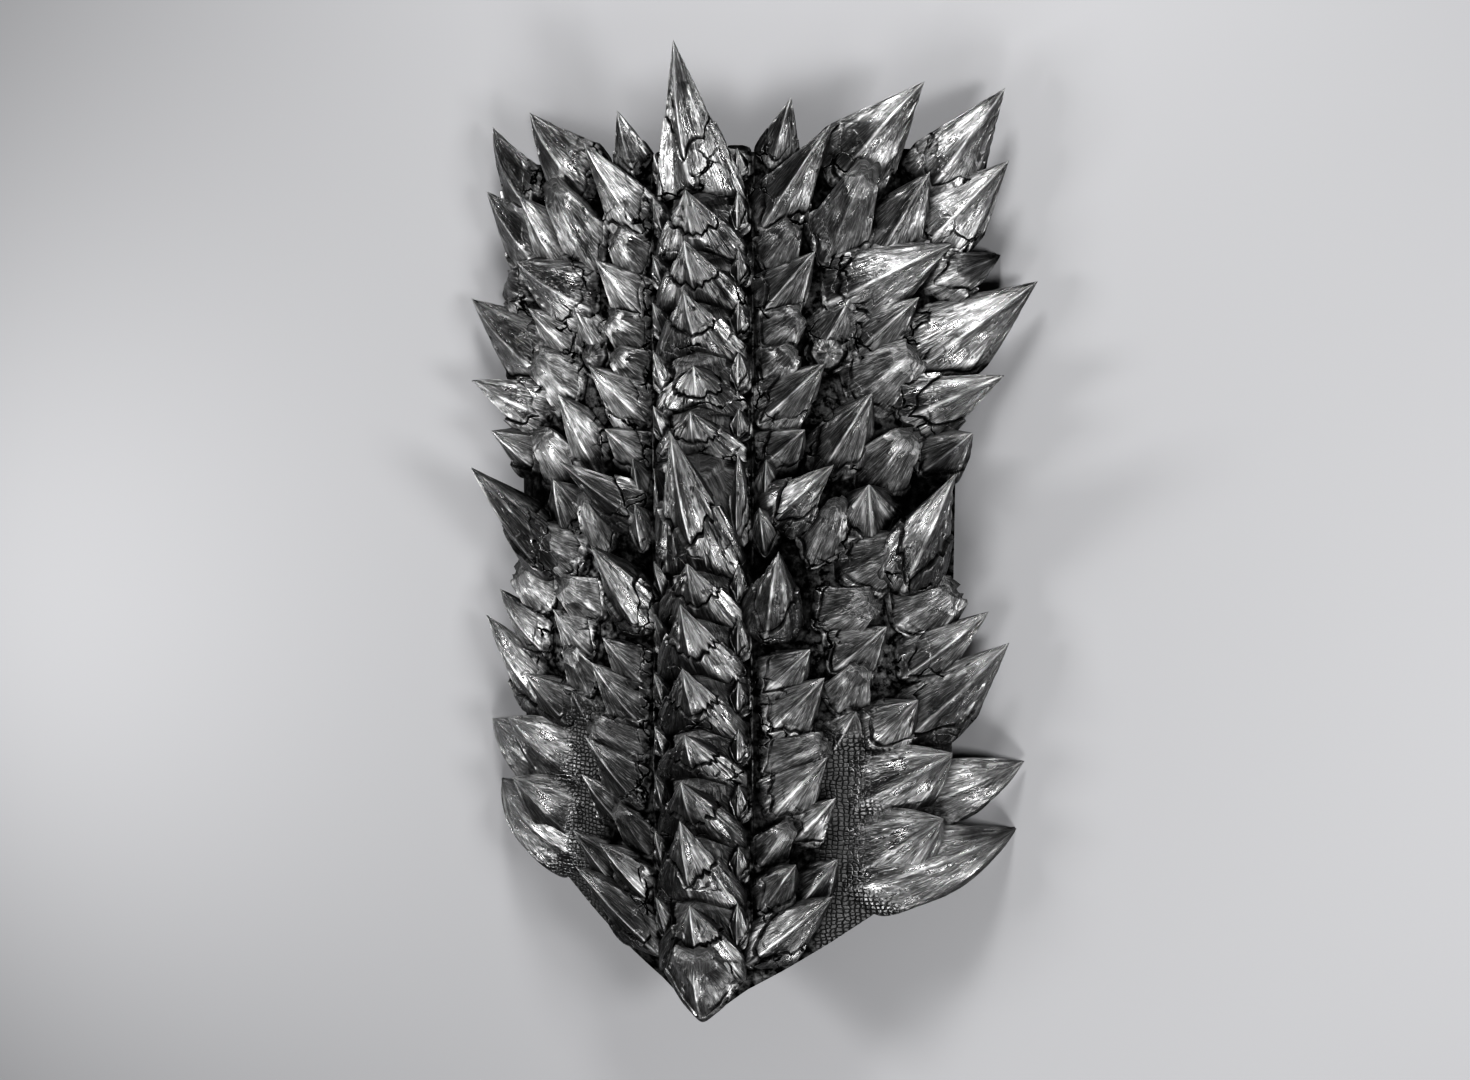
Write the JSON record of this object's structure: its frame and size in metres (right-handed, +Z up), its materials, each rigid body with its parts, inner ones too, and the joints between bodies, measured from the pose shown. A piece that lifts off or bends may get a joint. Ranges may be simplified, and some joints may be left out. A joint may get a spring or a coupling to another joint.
{
  "type": "tower shield",
  "caption": "Tall bent tower shield with a pointed foot, clad in overlapping keeled metal scales and spikes, with a hand grip in the hollow behind.",
  "frame": {"origin": "on the floor under the middle of the shield's box, as it lies on its back", "axes": "+X across the shield to its right as seen from the front, +Y toward its top spike, +Z up out of its face"},
  "size_m": [0.7912, 1.22, 0.234],
  "materials": {
    "wall": "dark rough metal",
    "spine": "dark polished metal with bright edges",
    "scales": "dark polished metal with fine grooves and bright edges",
    "grip": "dark satin metal"
  },
  "bodies": {
    "root": {"shell": "wall", "grip": "grip", "spine_scute_01": "spine", "spine_scute_02": "spine", "spine_scute_03": "spine", "spine_scute_04": "spine", "spine_scute_05": "spine", "spine_scute_06": "spine", "spine_scute_07": "spine", "spine_scute_08": "spine", "spine_scute_09": "spine", "spine_scute_10": "spine", "spine_scute_11": "spine", "spine_scute_12": "spine", "spine_scute_13": "spine", "spine_scute_14": "spine", "spine_scute_15": "spine", "inner_scales_left_01": "scales", "inner_scales_left_02": "scales", "inner_scales_left_03": "scales", "inner_scales_left_04": "scales", "inner_scales_left_05": "scales", "inner_scales_left_06": "scales", "inner_scales_left_07": "scales", "inner_scales_left_08": "scales", "inner_scales_left_09": "scales", "flank_scales_left_01": "scales", "flank_scales_left_02": "scales", "flank_scales_left_03": "scales", "flank_scales_left_04": "scales", "flank_scales_left_05": "scales", "flank_scales_left_06": "scales", "flank_scales_left_07": "scales", "flank_scales_left_08": "scales", "flank_scales_left_09": "scales", "flank_scales_left_10": "scales", "flank_scales_left_11": "scales", "flank_scales_left_12": "scales", "inner_scales_right_01": "scales", "inner_scales_right_02": "scales", "inner_scales_right_03": "scales", "inner_scales_right_04": "scales", "inner_scales_right_05": "scales", "inner_scales_right_06": "scales", "inner_scales_right_07": "scales", "inner_scales_right_08": "scales", "inner_scales_right_09": "scales", "flank_scales_right_01": "scales", "flank_scales_right_02": "scales", "flank_scales_right_03": "scales", "flank_scales_right_04": "scales", "flank_scales_right_05": "scales", "flank_scales_right_06": "scales", "flank_scales_right_07": "scales", "flank_scales_right_08": "scales", "flank_scales_right_09": "scales", "flank_scales_right_10": "scales", "flank_scales_right_11": "scales", "flank_scales_right_12": "scales"}
  },
  "joints": []
}
